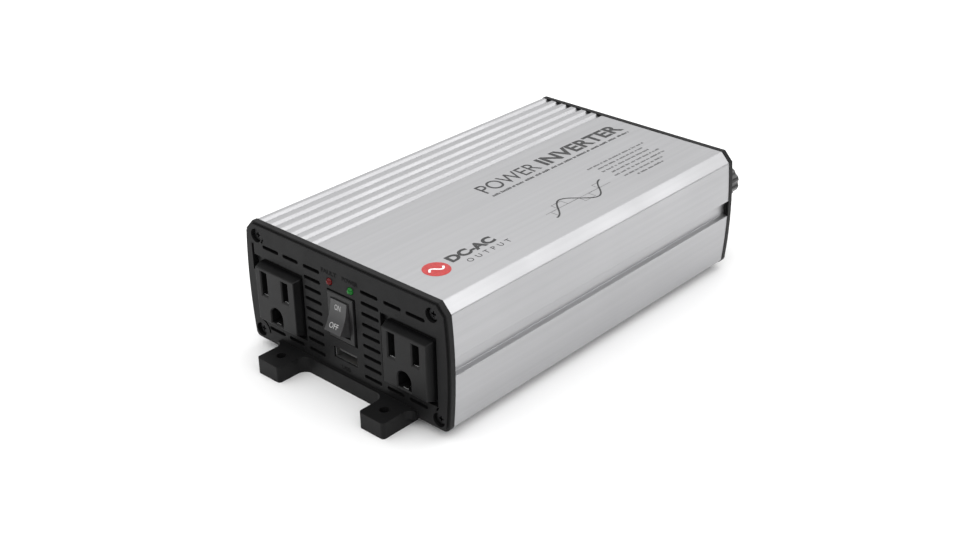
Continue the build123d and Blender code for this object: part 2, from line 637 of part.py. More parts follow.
# ------------------------------------------------------------------ indicator lamps
LED_BASE_Y = PANEL_BACK + 0.3
LED_TIP_Y = PANEL_FACE - 1.2
for side, name in ((-1, "fault_led"), (1, "power_led")):
    with BuildPart() as led:
        with BuildSketch(Plane.YZ.offset(side * LED_X)):
            with BuildLine():
                Polyline((LED_TIP_Y + LED_RADIUS, LED_Z + LED_RADIUS), (LED_BASE_Y, LED_Z + LED_RADIUS),
                         (LED_BASE_Y, LED_Z + 1.9), (LED_BASE_Y + 1, LED_Z + 1.9), (LED_BASE_Y + 1, LED_Z),
                         (LED_TIP_Y, LED_Z))
                dome_mid = LED_RADIUS * (1 - cos(pi / 4))
                ThreePointArc((LED_TIP_Y, LED_Z), (LED_TIP_Y + dome_mid, LED_Z + LED_RADIUS * sin(pi / 4)),
                              (LED_TIP_Y + LED_RADIUS, LED_Z + LED_RADIUS))
            make_face()
        revolve(axis=Axis((side * LED_X, 0, LED_Z), (0, 1, 0)))
    write(led, name)

with BuildPart() as led_board:
    board_y = LED_BASE_Y + 5
    box_between((-12, board_y, LED_Z - 1.6), (12, board_y + 1.2, LED_Z + 4))
write(led_board, "led_board")

with BuildPart() as led_leads:
    for side in (-1, 1):
        for dx in (-1.27 / 2, 1.27 / 2):
            x = side * LED_X + dx
            box_between((x - 0.22, LED_BASE_Y + 1, LED_Z - 0.22), (x + 0.22, board_y, LED_Z + 0.22))
write(led_leads, "led_leads")

# ------------------------------------------------------------------ fan
HUB_RADIUS = 10.5
SHAFT_RADIUS = 1.0
MOTOR_PLATE = 1.6
BLADE_THICK = 1.1
BLADE_PITCH_ANGLE = 38
BLADE_CHORD = 12.0
rotor_rear = FAN_REAR - 0.8
rotor_front = FAN_FRONT + MOTOR_PLATE + 0.5
rotor_mid = (rotor_rear + rotor_front) / 2

with BuildPart() as fan_frame:
    with BuildSketch(section(FAN_REAR)):
        with Locations((0, FAN_Z)):
            RectangleRounded(FAN_SIZE, FAN_SIZE, radius=3)
            Circle(FAN_BORE, mode=Mode.SUBTRACT)
            with GridLocations(FAN_HOLE_SPACING, FAN_HOLE_SPACING, 2, 2):
                Circle(PORT_BORE, mode=Mode.SUBTRACT)
    extrude(amount=FAN_DEPTH)
    # Motor plate on four struts, on the side that faces into the housing, with the shaft's bush
    with BuildSketch(section(FAN_FRONT)):
        with Locations((0, FAN_Z)):
            Circle(HUB_RADIUS)
            for angle in (30, 120):
                Rectangle(2 * FAN_BORE + 1, 2.6, rotation=angle)
            Circle(SHAFT_RADIUS + RUNNING_GAP, mode=Mode.SUBTRACT)
    extrude(amount=-MOTOR_PLATE)
write(fan_frame, "fan_frame")

with BuildPart() as fan_rotor:
    for i in range(FAN_BLADES):
        heading = i * 360 / FAN_BLADES
        with Locations(Location((0, rotor_mid, FAN_Z), (0, heading, 0))):
            with Locations(Location((14, 0, 0), (BLADE_PITCH_ANGLE, 0, 0))):
                Box(12, BLADE_CHORD, BLADE_THICK)
    with BuildSketch(section(rotor_rear)):
        with Locations((0, FAN_Z)):
            Circle(FAN_BORE - 0.7)
    extrude(amount=rotor_rear - rotor_front, mode=Mode.INTERSECT)
    with BuildSketch(section(rotor_rear)):
        with Locations((0, FAN_Z)):
            Circle(HUB_RADIUS)
    extrude(amount=rotor_rear - rotor_front)
    fillet(edges().filter_by(GeomType.CIRCLE).group_by(Axis.Y)[-1], radius=1.0)
    with BuildSketch(section(rotor_front)):
        with Locations((0, FAN_Z)):
            Circle(SHAFT_RADIUS)
    extrude(amount=rotor_front - FAN_FRONT)
write(fan_rotor, "fan_rotor")

fan_reach = FAN_HOLE_SPACING / 2
fan_spots = [(x, FAN_Z + rise) for x in (-fan_reach, fan_reach) for rise in (-fan_reach, fan_reach)]
with BuildPart() as fan_screws:
    pan_head_screws(fan_spots, REAR_FACE, 1, SCREW_SHANK, 12.0)
write(fan_screws, "fan_screws")

# ------------------------------------------------------------------ binding posts
collar_y = POST_BASE_FRONT + POST_BASE_THICK
washer_y = collar_y + POST_FLANGE_THICK + POST_GAP
knob_y = washer_y + POST_WASHER_THICK + POST_GAP
knob_end = knob_y + KNOB_LENGTH
STUD_INNER_Y = REAR_BACK - 14.0
STUD_TIP_Y = knob_end - 3.5
KNOB_FLUTES = 9
FLUTE_RADIUS = 2.0
FLUTE_OUT = 0.9                   # how far outside the knob's rim each flute is centred
FLUTE_START = 2.2
KNOB_EASE = 1.2
KNOB_END_WALL = 2.5
BASE_RADIUS = 8.2
COLLAR_RADIUS = 6.2
INNER_WASHER_THICK = 1.5
NUT_THICK = 4.5
NUT_ACROSS = 10.0
LUG_THICK = 1.0
nut_rear = REAR_BACK - INNER_WASHER_THICK - LUG_THICK


def ring(y, length, outer, inner, centre_x):
    """A flat ring on a post's axis, from y towards the rear by length."""
    with BuildSketch(section(y)) as annulus:
        with Locations((centre_x, POST_Z)):
            Circle(outer)
            Circle(inner, mode=Mode.SUBTRACT)
    extrude(annulus.sketch, amount=-length)


for side, pole in ((-1, "positive"), (1, "negative")):
    post_x = side * POST_X
    with BuildPart() as post_base:
        ring(POST_BASE_FRONT, POST_BASE_THICK, BASE_RADIUS, STUD_RADIUS, post_x)
        rims = edges().filter_by(GeomType.CIRCLE).group_by(Axis.Y)[-1].sort_by(SortBy.RADIUS)
        chamfer(rims[-1:], length=0.8)
        ring(REAR_BACK, PANEL_WALL, POST_HOLE - RUNNING_GAP, STUD_RADIUS, post_x)
    write(post_base, f"post_base_{pole}")

    with BuildPart() as post_stud:
        with BuildSketch(section(STUD_INNER_Y)):
            with Locations((post_x, POST_Z)):
                Circle(STUD_RADIUS)
        extrude(amount=-(STUD_TIP_Y - STUD_INNER_Y))
        with BuildSketch(section(collar_y)):
            with Locations((post_x, POST_Z)):
                Circle(COLLAR_RADIUS)
        extrude(amount=-POST_FLANGE_THICK)
    write(post_stud, f"post_stud_{pole}")

    with BuildPart() as post_washer:
        ring(washer_y, POST_WASHER_THICK, COLLAR_RADIUS, STUD_RADIUS + RUNNING_GAP, post_x)
    write(post_washer, f"post_washer_{pole}")

    with BuildPart() as post_knob:
        with BuildSketch(section(knob_y)):
            with Locations((post_x, POST_Z)):
                Circle(KNOB_RADIUS)
        extrude(amount=-KNOB_LENGTH)
        fillet(edges().group_by(Axis.Y)[-1], radius=KNOB_EASE)
        with BuildSketch(section(knob_y + FLUTE_START)):
            with Locations((post_x, POST_Z)):
                with PolarLocations(KNOB_RADIUS + FLUTE_OUT, KNOB_FLUTES):
                    Circle(FLUTE_RADIUS)
        extrude(amount=-KNOB_LENGTH, mode=Mode.SUBTRACT)
        with BuildSketch(section(knob_y)):
            with Locations((post_x, POST_Z)):
                Circle(STUD_RADIUS + RUNNING_GAP)
        extrude(amount=-(KNOB_LENGTH - KNOB_END_WALL), mode=Mode.SUBTRACT)
    write(post_knob, f"post_knob_{pole}")

with BuildPart() as post_inner_washers:
    for side in (-1, 1):
        ring(REAR_BACK - INNER_WASHER_THICK, INNER_WASHER_THICK, COLLAR_RADIUS, STUD_RADIUS, side * POST_X)
write(post_inner_washers, "post_inner_washers")

with BuildPart() as post_nuts:
    with BuildSketch(section(nut_rear - NUT_THICK)):
        with Locations((-POST_X, POST_Z), (POST_X, POST_Z)):
            RegularPolygon(radius=NUT_ACROSS / 2, side_count=6, major_radius=False)
            Circle(STUD_RADIUS, mode=Mode.SUBTRACT)
    extrude(amount=-NUT_THICK)
write(post_nuts, "post_nuts")

CABLE_RADIUS = 2.2
CABLE_Z = 18.2
CABLE_BEND = 3.2
LUG_DROP = 7.5
BARREL_LENGTH = 4.7
BARREL_SET = 1.4                  # the barrel hangs this far inside the lug's ring
DC_BLOCK_Y = (54.0, 62.0)
barrel_bottom = POST_Z - LUG_DROP - BARREL_LENGTH + 0.4
lug_y = nut_rear
for side, pole in ((-1, "positive"), (1, "negative")):
    post_x = side * POST_X
    with BuildPart() as ring_lug:
        ring(lug_y, LUG_THICK, 5.5, STUD_RADIUS, post_x)
        box_between((post_x - 2.6, lug_y, POST_Z - LUG_DROP), (post_x + 2.6, lug_y + LUG_THICK, POST_Z - 4.6))
        with BuildSketch(Plane.XY.offset(barrel_bottom)):
            with Locations((post_x, lug_y - BARREL_SET)):
                Circle(CABLE_RADIUS + 0.8)
        extrude(amount=BARREL_LENGTH)
    write(ring_lug, f"ring_lug_{pole}")

    with BuildPart() as dc_cable:
        with BuildLine() as route:
            cable_y = lug_y - BARREL_SET
            FilletPolyline((post_x, cable_y, barrel_bottom), (post_x, cable_y, CABLE_Z),
                           (post_x, DC_BLOCK_Y[1], CABLE_Z), radius=CABLE_BEND)
        with BuildSketch(Plane(origin=route.line @ 0, z_dir=route.line % 0)):
            Circle(CABLE_RADIUS)
        sweep(path=route.line)
    write(dc_cable, f"dc_cable_{pole}")

with BuildPart() as dc_terminals:
    for side in (-1, 1):
        x = side * POST_X
        box_between((x - 4, DC_BLOCK_Y[0], BOARD_TOP), (x + 4, DC_BLOCK_Y[1], CABLE_Z + 3.5))
write(dc_terminals, "dc_terminals")

# ------------------------------------------------------------------ main board and what stands on it
with BuildPart() as main_board:
    box_between((-BOARD_HALF, BOARD_FRONT, BOARD_BOTTOM), (BOARD_HALF, BOARD_REAR, BOARD_TOP))
write(main_board, "main_board")

with BuildPart() as insulation_sheet:
    sheet_z = BOTTOM + WALL
    box_between((-45, BOARD_FRONT, sheet_z), (45, BOARD_REAR - 3, sheet_z + 0.4))
write(insulation_sheet, "insulation_sheet")

with BuildPart() as board_standoffs:
    with BuildSketch(Plane.XY.offset(sheet_z + 0.4)):
        with GridLocations(70, 110, 2, 2):
            RegularPolygon(radius=3, side_count=6)
    extrude(amount=BOARD_BOTTOM - sheet_z - 0.4)
write(board_standoffs, "board_standoffs")

# Transformer: two-window ferrite core, bobbin and winding
CORE = (40.0, 16.0, 25.0)
CORE_LEG = 10.0
CORE_SIDE = 6.0
CORE_YOKE = 5.0
TRANSFORMER_Y = 22.0
core_bottom = BOARD_TOP + 1.5
window_width = (CORE[0] - 2 * CORE_SIDE - CORE_LEG) / 2
window_height = CORE[2] - 2 * CORE_YOKE
window_bottom = core_bottom + CORE_YOKE
window_top = window_bottom + window_height
with BuildPart() as transformer_core:
    box_between((-CORE[0] / 2, TRANSFORMER_Y - CORE[1] / 2, core_bottom),
                (CORE[0] / 2, TRANSFORMER_Y + CORE[1] / 2, core_bottom + CORE[2]))
    for side in (-1, 1):
        x0, x1 = sorted((side * CORE_LEG / 2, side * (CORE_LEG / 2 + window_width)))
        box_between((x0, TRANSFORMER_Y - CORE[1], window_bottom),
                    (x1, TRANSFORMER_Y + CORE[1], window_top), mode=Mode.SUBTRACT)
write(transformer_core, "transformer_core")

BOBBIN_THICK = 0.8
BOBBIN_RADIUS = 13.6
PIN_RAIL = (18.0, 3.4)
PIN_RAIL_OUT = CORE[1] / 2 + 1.9
rail_top = window_bottom + BOBBIN_THICK
with BuildPart() as transformer_bobbin:
    for z in (window_bottom, window_top - BOBBIN_THICK):
        with BuildSketch(Plane.XY.offset(z)):
            with Locations((0, TRANSFORMER_Y)):
                Circle(BOBBIN_RADIUS)
        extrude(amount=BOBBIN_THICK)
    half_x = CORE_LEG / 2 + BOBBIN_THICK
    half_y = CORE[1] / 2 + BOBBIN_THICK
    box_between((-half_x, TRANSFORMER_Y - half_y, window_bottom),
                (half_x, TRANSFORMER_Y + half_y, window_top))
    box_between((-CORE_LEG / 2, TRANSFORMER_Y - CORE[1] / 2, window_bottom),
                (CORE_LEG / 2, TRANSFORMER_Y + CORE[1] / 2, window_top), mode=Mode.SUBTRACT)
    # Pin rails that carry it on the board
    for side in (-1, 1):
        with Locations((0, TRANSFORMER_Y + side * PIN_RAIL_OUT, (BOARD_TOP + rail_top) / 2)):
            Box(*PIN_RAIL, rail_top - BOARD_TOP)
write(transformer_bobbin, "transformer_bobbin")

with BuildPart() as transformer_winding:
    with BuildSketch(Plane.XY.offset(window_bottom + BOBBIN_THICK)):
        with Locations((0, TRANSFORMER_Y)):
            Circle(BOBBIN_RADIUS - 0.6)
            Rectangle(2 * half_x, 2 * half_y, mode=Mode.SUBTRACT)
    extrude(amount=window_height - 2 * BOBBIN_THICK)
write(transformer_winding, "transformer_winding")

# Output choke: a ring core inside its winding
CHOKE = (28.0, -30.0)
choke_base = BOARD_TOP
with BuildPart() as choke_core:
    with BuildSketch(Plane.XY.offset(choke_base + 1.5)):
        with Locations(CHOKE):
            Circle(10.5)
            Circle(5.5, mode=Mode.SUBTRACT)
    extrude(amount=8)
write(choke_core, "choke_core")

with BuildPart() as choke_winding:
    with BuildSketch(Plane.XZ.offset(-CHOKE[1])):
        with Locations((CHOKE[0] + 8.0, choke_base + 5.5)):
            Rectangle(8.0, 11.0)
            Rectangle(5.0, 8.0, mode=Mode.SUBTRACT)
    revolve(axis=Axis((CHOKE[0], CHOKE[1], 0), (0, 0, 1)), revolution_arc=310)
write(choke_winding, "choke_winding")

# Electrolytic capacitors with rounded can tops
input_cans = [(-14, 54), (-34, 40)]
with BuildPart() as input_capacitors:
    with BuildSketch(Plane.XY.offset(BOARD_TOP)):
        with Locations(*input_cans):
            Circle(8)
    extrude(amount=25)
    fillet(edges().group_by(Axis.Z)[-1], radius=0.8)
write(input_capacitors, "input_capacitors")

with BuildPart() as output_capacitor:
    with BuildSketch(Plane.XY.offset(BOARD_TOP)):
        with Locations((-6, -30)):
            Circle(9)
    extrude(amount=26)
    fillet(edges().group_by(Axis.Z)[-1], radius=0.8)
write(output_capacitor, "output_capacitor")

# Power transistors clamped to the walls behind the side channels
DEVICE = (4.4, 10.0, 10.4)
DEVICE_BOTTOM = 26.2
PAD_THICK = 0.3
DEVICE_SPOTS = (-24, -8, 8, 24)
CLAMP_THICK = 1.2
DEVICE_LEAD = (0.6, 0.8)
DEVICE_LEAD_PITCH = 2.54
PAD_OVERHANG = 8.0
CLAMP_OVERHANG = 6.0
CLAMP_LEVEL = (DEVICE_BOTTOM + 3, DEVICE_BOTTOM + 9)
CLAMP_HOLES_Y = (-16, 16)
pad_face = BACKING_X - PAD_THICK
device_face = pad_face - DEVICE[0]
with BuildPart() as thermal_pads:
    for side in (-1, 1):
        x0, x1 = sorted((side * BACKING_X, side * pad_face))
        box_between((x0, DEVICE_SPOTS[0] - PAD_OVERHANG, DEVICE_BOTTOM),
                    (x1, DEVICE_SPOTS[-1] + PAD_OVERHANG, DEVICE_BOTTOM + DEVICE[2]))
write(thermal_pads, "thermal_pads")

with BuildPart() as transistors:
    for side in (-1, 1):
        x0, x1 = sorted((side * pad_face, side * device_face))
        for y in DEVICE_SPOTS:
            box_between((x0, y - DEVICE[1] / 2, DEVICE_BOTTOM),
                        (x1, y + DEVICE[1] / 2, DEVICE_BOTTOM + DEVICE[2]))
            for lead_y in (y - DEVICE_LEAD_PITCH, y, y + DEVICE_LEAD_PITCH):
                with Locations(((x0 + x1) / 2, lead_y, (BOARD_TOP + DEVICE_BOTTOM) / 2)):
                    Box(*DEVICE_LEAD, DEVICE_BOTTOM - BOARD_TOP)
write(transistors, "transistors")

with BuildPart() as clamp_bars:
    for side in (-1, 1):
        x0, x1 = sorted((side * device_face, side * (device_face - CLAMP_THICK)))
        box_between((x0, DEVICE_SPOTS[0] - CLAMP_OVERHANG, CLAMP_LEVEL[0]),
                    (x1, DEVICE_SPOTS[-1] + CLAMP_OVERHANG, CLAMP_LEVEL[1]))
    with BuildSketch(Plane.YZ):
        with Locations(*[(y, sum(CLAMP_LEVEL) / 2) for y in CLAMP_HOLES_Y]):
            Circle(SCREW_CLEARANCE)
    extrude(amount=BULGE_X, both=True, mode=Mode.SUBTRACT)
write(clamp_bars, "clamp_bars")

# Blade fuses on the low-voltage side
with BuildPart() as blade_fuses:
    for x in (8, 18):
        box_between((x - 2.5, 46, BOARD_TOP), (x + 2.5, 65, BOARD_TOP + 12))
write(blade_fuses, "blade_fuses")

# Upright control board with two chips
with BuildPart() as control_board:
    box_between((-31.6, -22, BOARD_TOP), (-30, 16, BOARD_TOP + 22))
write(control_board, "control_board")

with BuildPart() as control_chips:
    for y in (-12, 6):
        box_between((-30, y - 5, BOARD_TOP + 7), (-28, y + 5, BOARD_TOP + 14))
write(control_chips, "control_chips")

# ------------------------------------------------------------------ inner wiring
AC_RADIUS = 1.2
AC_LANDING_Y = -56.0
SWITCH_LANDINGS_Y = (-62.0, -56.0)
tail_end = OUTLET_BODY_BACK + OUTLET_CAP_THICK + TAIL_LENGTH
with BuildPart() as ac_wires:
    for side in (-1, 1):
        for dx, z in tail_spots[:2]:
            x = side * OUTLET_X + dx
            with BuildLine() as route:
                FilletPolyline((x, tail_end, z), (x, AC_LANDING_Y, z), (x, AC_LANDING_Y, BOARD_TOP), radius=6)
            with BuildSketch(Plane(origin=route.line @ 0, z_dir=route.line % 0)):
                Circle(AC_RADIUS)
            sweep(path=route.line)
write(ac_wires, "ac_wires")

with BuildPart() as switch_wires:
    for rise, landing in zip(TERMINAL_RISES[::2], SWITCH_LANDINGS_Y):
        wire_z = SWITCH_Z + rise
        with BuildLine() as route:
            FilletPolyline((SWITCH_X, SWITCH_BODY_BACK + TERMINAL[1], wire_z), (SWITCH_X, landing, wire_z),
                           (SWITCH_X, landing, BOARD_TOP), radius=4)
        with BuildSketch(Plane(origin=route.line @ 0, z_dir=route.line % 0)):
            Circle(AC_RADIUS)
        sweep(path=route.line)
write(switch_wires, "switch_wires")
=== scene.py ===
import json
from math import atan2, cos, pi, radians, sin

import bmesh
import bpy
from mathutils import Matrix, Vector


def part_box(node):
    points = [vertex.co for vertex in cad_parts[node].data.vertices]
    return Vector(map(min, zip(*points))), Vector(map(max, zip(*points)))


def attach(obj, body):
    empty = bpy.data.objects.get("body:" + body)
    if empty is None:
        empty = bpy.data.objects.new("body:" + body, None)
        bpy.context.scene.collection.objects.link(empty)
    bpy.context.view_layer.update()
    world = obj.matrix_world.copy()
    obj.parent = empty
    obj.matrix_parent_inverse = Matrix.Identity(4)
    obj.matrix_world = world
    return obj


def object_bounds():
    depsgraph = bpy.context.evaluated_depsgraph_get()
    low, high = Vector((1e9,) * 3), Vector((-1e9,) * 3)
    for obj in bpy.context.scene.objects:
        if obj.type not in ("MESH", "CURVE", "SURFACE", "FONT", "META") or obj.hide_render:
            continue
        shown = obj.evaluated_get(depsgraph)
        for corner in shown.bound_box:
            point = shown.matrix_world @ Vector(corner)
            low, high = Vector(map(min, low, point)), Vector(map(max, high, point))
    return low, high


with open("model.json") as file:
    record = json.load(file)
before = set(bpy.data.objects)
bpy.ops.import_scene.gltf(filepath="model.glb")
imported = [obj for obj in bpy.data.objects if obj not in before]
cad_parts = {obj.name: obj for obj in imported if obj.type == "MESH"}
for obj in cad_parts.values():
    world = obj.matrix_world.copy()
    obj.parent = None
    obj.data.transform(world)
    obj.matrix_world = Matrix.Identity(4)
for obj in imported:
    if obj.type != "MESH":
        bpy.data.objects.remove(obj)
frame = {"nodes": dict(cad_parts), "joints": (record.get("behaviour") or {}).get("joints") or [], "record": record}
cad_low, cad_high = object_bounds()
scene = bpy.context.scene
record = frame["record"]
colours = {m["slot"]: tuple(m["base_color"][:3]) for m in record["materials"]}
MM = 0.001
PANEL_SET_BACK = 3.4 * MM         # from the housing's end to the face of either end plate
POST_X = 41.3                     # mm from the middle to either binding post


# ------------------------------------------------------------------ camera
CAMERA_PLACE = (0.34876, -0.39106, 0.29391)
CAMERA_AZIMUTH, CAMERA_ELEVATION, CAMERA_ROLL = radians(42.32), radians(28.12), radians(-0.67)


def add_camera():
    azimuth, elevation, roll = CAMERA_AZIMUTH, CAMERA_ELEVATION, CAMERA_ROLL
    back = Vector((sin(azimuth) * cos(elevation), -cos(azimuth) * cos(elevation), sin(elevation)))
    right = Vector((cos(azimuth), sin(azimuth), 0))
    up = back.cross(right)
    right, up = right * cos(roll) + up * sin(roll), up * cos(roll) - right * sin(roll)
    data = bpy.data.cameras.new("camera")
    data.lens = 50.0
    data.sensor_width = 36.0
    data.clip_start = 0.01
    camera = bpy.data.objects.new("camera", data)
    x, y, z = CAMERA_PLACE
    camera.matrix_world = Matrix((
        (right.x, up.x, back.x, x),
        (right.y, up.y, back.y, y),
        (right.z, up.z, back.z, z),
        (0, 0, 0, 1)))
    scene.collection.objects.link(camera)
    scene.camera = camera


add_camera()


# ------------------------------------------------------------------ node helpers
class Shader:
    """A material under construction: makes nodes, sets their inputs and links them."""

    def __init__(self, name):
        self.material = bpy.data.materials.new(name)
        self.material.use_nodes = True
        self.tree = self.material.node_tree
        self.bsdf = next(n for n in self.tree.nodes if n.type == "BSDF_PRINCIPLED")
        self.place = self.node("ShaderNodeTexCoord").outputs["Object"]

    def node(self, kind, **settings):
        made = self.tree.nodes.new(kind)
        for key, value in settings.items():
            setattr(made, key, value)
        return made

    def put(self, target, value):
        if isinstance(value, bpy.types.NodeSocket):
            self.tree.links.new(value, target)
        else:
            target.default_value = value

    def noise(self, cell, stretch=(1, 1, 1), detail=2.0, roughness=0.5):
        """Noise in real size: cell is a blotch's width in metres, and stretch lengthens it along an axis."""
        mapping = self.node("ShaderNodeMapping")
        self.put(mapping.inputs["Vector"], self.place)
        mapping.inputs["Scale"].default_value = [1 / (cell * s) for s in stretch]
        texture = self.node("ShaderNodeTexNoise")
        self.put(texture.inputs["Vector"], mapping.outputs["Vector"])
        self.put(texture.inputs["Scale"], 1.0)
        self.put(texture.inputs["Detail"], detail)
        self.put(texture.inputs["Roughness"], roughness)
        return texture.outputs["Fac"]

    def spread(self, source, low, high, from_low=0.3, from_high=0.7):
        """Maps a 0..1 noise to low..high."""
        node = self.node("ShaderNodeMapRange")
        self.put(node.inputs["Value"], source)
        limits = {"From Min": from_low, "From Max": from_high, "To Min": low, "To Max": high}
        for key, value in limits.items():
            self.put(node.inputs[key], value)
        return node.outputs["Result"]

    def blend(self, factor, first, second):
        node = self.node("ShaderNodeMix", data_type="RGBA")
        self.put(node.inputs["Factor"], factor)
        node.inputs[6].default_value = first
        node.inputs[7].default_value = second
        return node.outputs[2]

    def bump(self, height, depth, normal=None):
        node = self.node("ShaderNodeBump")
        self.put(node.inputs["Height"], height)
        self.put(node.inputs["Distance"], depth)
        self.put(node.inputs["Strength"], 1.0)
        if normal is not None:
            self.put(node.inputs["Normal"], normal)
        return node.outputs["Normal"]

    def rounded(self, radius):
        """Softens sharp edges in the shading."""
        node = self.node("ShaderNodeBevel", samples=4)
        self.put(node.inputs["Radius"], radius)
        return node.outputs["Normal"]

    def set(self, **inputs):
        for key, value in inputs.items():
            self.put(self.bsdf.inputs[key.replace("_", " ")], value)


def scaled(colour, factor):
    return tuple(min(1.0, c * factor) for c in colour[:3]) + (1.0,)


def moulded(name, colour, roughness=0.45, grain=0.0004, depth=6e-6, swing=0.12, edge=0.00018, coat=0.0,
            gloss=0.5):
    """Moulded plastic: spark-eroded grain, faint flow marks and slightly worn, shinier patches."""
    s = Shader(name)
    slow = s.noise(0.018, detail=3)
    fine = s.noise(grain, detail=2)
    s.set(Base_Color=s.blend(s.spread(slow, 0, 1), scaled(colour, 1 - swing), scaled(colour, 1 + swing)))
    patches = s.noise(0.006, detail=4)
    s.set(Roughness=s.spread(patches, roughness - 0.05, roughness + 0.05))
    s.bsdf.inputs["Specular IOR Level"].default_value = gloss
    s.bsdf.inputs["Coat Weight"].default_value = coat
    s.bsdf.inputs["Coat Roughness"].default_value = 0.12
    normal = s.rounded(edge) if edge else None
    s.set(Normal=s.bump(fine, depth, normal))
    return s.material


def metal(name, colour, roughness=0.3, grain=0.0003, stretch=(1, 1, 1), swing=0.06, edge=0.0, metallic=1.0):
    """Metal, or thin plating, with drawn or rolled lines along the axis that stretch lengthens."""
    s = Shader(name)
    lines = s.noise(grain, stretch, detail=4, roughness=0.6)
    slow = s.noise(0.02, detail=3)
    s.set(Base_Color=s.blend(s.spread(lines, 0, 1), scaled(colour, 1 - swing), scaled(colour, 1 + swing)))
    s.bsdf.inputs["Metallic"].default_value = metallic
    s.set(Roughness=s.spread(slow, roughness - 0.06, roughness + 0.06))
    s.set(Normal=s.bump(lines, 2e-6, s.rounded(edge) if edge else None))
    return s.material


# ------------------------------------------------------------------ materials
def anodised_aluminium():
    """Satin anodised extrusion: fine die lines along the body, and a silky, faintly cloudy oxide."""
    s = Shader("anodised_aluminium")
    colour = colours["anodised_aluminium"]
    die_lines = s.noise(0.00035, (1, 260, 1), detail=5, roughness=0.65)
    broad_lines = s.noise(0.0022, (1, 90, 1), detail=3)
    cloud = s.noise(0.03, detail=3)
    s.set(Base_Color=s.blend(s.spread(broad_lines, 0, 1), scaled(colour, 0.86), scaled(colour, 0.92)))
    s.bsdf.inputs["Metallic"].default_value = 1.0
    s.bsdf.inputs["Anisotropic"].default_value = 0.35
    s.bsdf.inputs["Anisotropic Rotation"].default_value = 0.25
    tangent = s.node("ShaderNodeTangent", direction_type="RADIAL", axis="Y")
    s.put(s.bsdf.inputs["Tangent"], tangent.outputs["Tangent"])
    s.set(Roughness=s.spread(cloud, 0.38, 0.45))
    s.set(Normal=s.bump(die_lines, 0.9e-6, s.rounded(0.0005)))
    return s.material


def circuit_board():
    """Green solder mask over faint copper tracks."""
    s = Shader("circuit_board")
    colour = colours["circuit_board"]
    bricks = s.node("ShaderNodeTexBrick")
    mapping = s.node("ShaderNodeMapping")
    s.put(mapping.inputs["Vector"], s.place)
    mapping.inputs["Scale"].default_value = (260, 260, 260)
    s.put(bricks.inputs["Vector"], mapping.outputs["Vector"])
    bricks.inputs["Color1"].default_value = scaled(colour, 1.25)
    bricks.inputs["Color2"].default_value = scaled(colour, 0.95)
    bricks.inputs["Mortar"].default_value = scaled(colour, 0.65)
    s.set(Base_Color=bricks.outputs["Color"])
    s.set(Roughness=s.spread(s.noise(0.004), 0.25, 0.4))
    s.set(Normal=s.bump(bricks.outputs["Fac"], 1e-5))
    return s.material


def wound_wire():
    """Enamelled copper wire laid side by side."""
    s = Shader("copper")
    colour = colours["copper"]
    wave = s.node("ShaderNodeTexWave", wave_type="BANDS", bands_direction="Z")
    s.put(wave.inputs["Vector"], s.place)
    wave.inputs["Scale"].default_value = 300.0
    wave.inputs["Distortion"].default_value = 1.5
    # The bands darken the copper in the grooves between turns and lighten it on their crests, in step with the
    # bump: painted shade and painted highlight.
    s.set(Base_Color=s.blend(wave.outputs["Fac"], scaled(colour, 0.55), scaled(colour, 1.1)))
    s.bsdf.inputs["Metallic"].default_value = 1.0
    s.set(Roughness=s.spread(s.noise(0.003), 0.25, 0.4))
    s.set(Normal=s.bump(wave.outputs["Fac"], 0.0002))
    return s.material


def lens(name, colour, glow):
    """Tinted epoxy lamp of uneven depth, with as much glow as the lit chip gives."""
    s = Shader(name)
    depth = s.noise(0.0011, detail=2)
    s.set(Base_Color=s.blend(s.spread(depth, 0, 1), scaled(colour, 0.55), scaled(colour, 1.35)))
    s.set(Emission_Color=s.blend(s.spread(depth, 0, 1), scaled(colour, 0.4), scaled(colour, 1.8)))
    s.bsdf.inputs["Emission Strength"].default_value = glow
    s.bsdf.inputs["IOR"].default_value = 1.52
    s.bsdf.inputs["Specular IOR Level"].default_value = 0.2
    s.set(Roughness=s.spread(s.noise(0.0006), 0.05, 0.14))
    s.set(Normal=s.bump(s.noise(0.0008), 3e-6))
    return s.material


def threaded_brass():
    """Machined brass whose thread shows as close rings along the post."""
    s = Shader("stud_brass")
    colour = colours["brass"]
    wave = s.node("ShaderNodeTexWave", wave_type="BANDS", bands_direction="Y")
    s.put(wave.inputs["Vector"], s.place)
    wave.inputs["Scale"].default_value = 314.16
    turned = s.noise(0.0003, (1, 0.4, 1))
    s.set(Base_Color=s.blend(s.spread(turned, 0, 1), scaled(colour, 0.85), scaled(colour, 1.1)))
    s.bsdf.inputs["Metallic"].default_value = 1.0
    s.set(Roughness=s.spread(turned, 0.2, 0.34))
    s.set(Normal=s.bump(wave.outputs["Fac"], 0.0003))
    return s.material


def ink(name, colour, roughness=0.5):
    """Printed ink: slightly uneven cover."""
    s = Shader(name)
    cover = s.noise(0.0007, detail=3)
    s.set(Base_Color=s.blend(s.spread(cover, 0, 1), scaled(colour, 0.85), scaled(colour, 1.2)))
    s.set(Roughness=s.spread(s.noise(0.002), roughness - 0.08, roughness + 0.08))
    s.set(Normal=s.bump(cover, 3e-6))
    return s.material


def plastic(slot, darken=1.0, **look):
    """Moulded plastic in the colour that the record gives the slot, darkened where the photograph asks it."""
    return moulded(slot, scaled(colours[slot], darken), **look)


